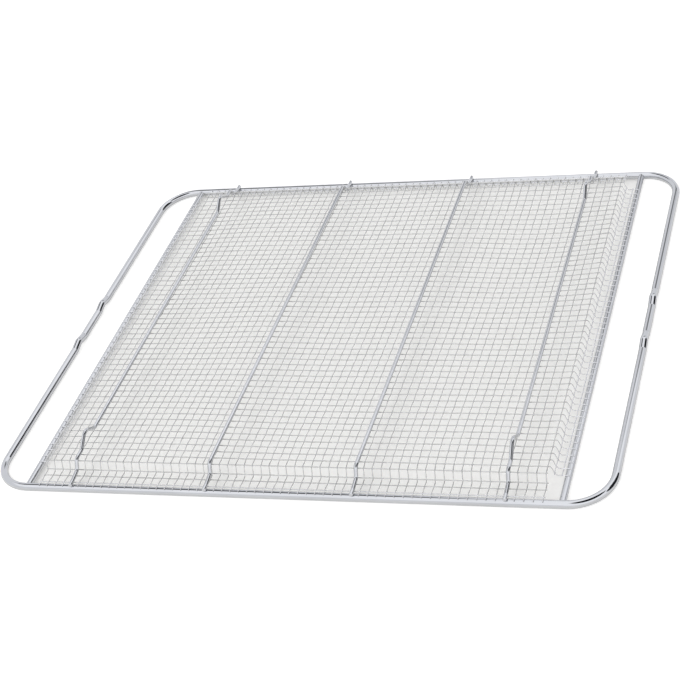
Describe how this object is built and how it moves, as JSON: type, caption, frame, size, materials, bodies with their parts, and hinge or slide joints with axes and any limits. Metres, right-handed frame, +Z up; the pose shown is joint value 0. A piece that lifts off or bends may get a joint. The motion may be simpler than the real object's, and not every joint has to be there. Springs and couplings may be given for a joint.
{
  "type": "grill rack",
  "caption": "Chromed wire oven rack with a raised woven mesh platform, rounded frame, crossbars and front-to-back support wires.",
  "frame": {"origin": "middle of the frame, on the plane that the underside of the rails rests on", "axes": "+X across the rack from left rail to right rail, +Y from the front rail to the back rail, +Z up"},
  "size_m": [0.466, 0.39, 0.024],
  "materials": {
    "rail_chrome": "bright plated heavy wire",
    "wire_chrome": "bright plated thin wire",
    "mesh_steel": "fine plated woven wire"
  },
  "bodies": {
    "root": {"frame": "rail_chrome", "left_crossbar": "rail_chrome", "right_crossbar": "rail_chrome", "outer_left_wire": "wire_chrome", "inner_left_wire": "wire_chrome", "inner_right_wire": "wire_chrome", "outer_right_wire": "wire_chrome", "mesh_panel": "mesh_steel"}
  },
  "joints": []
}
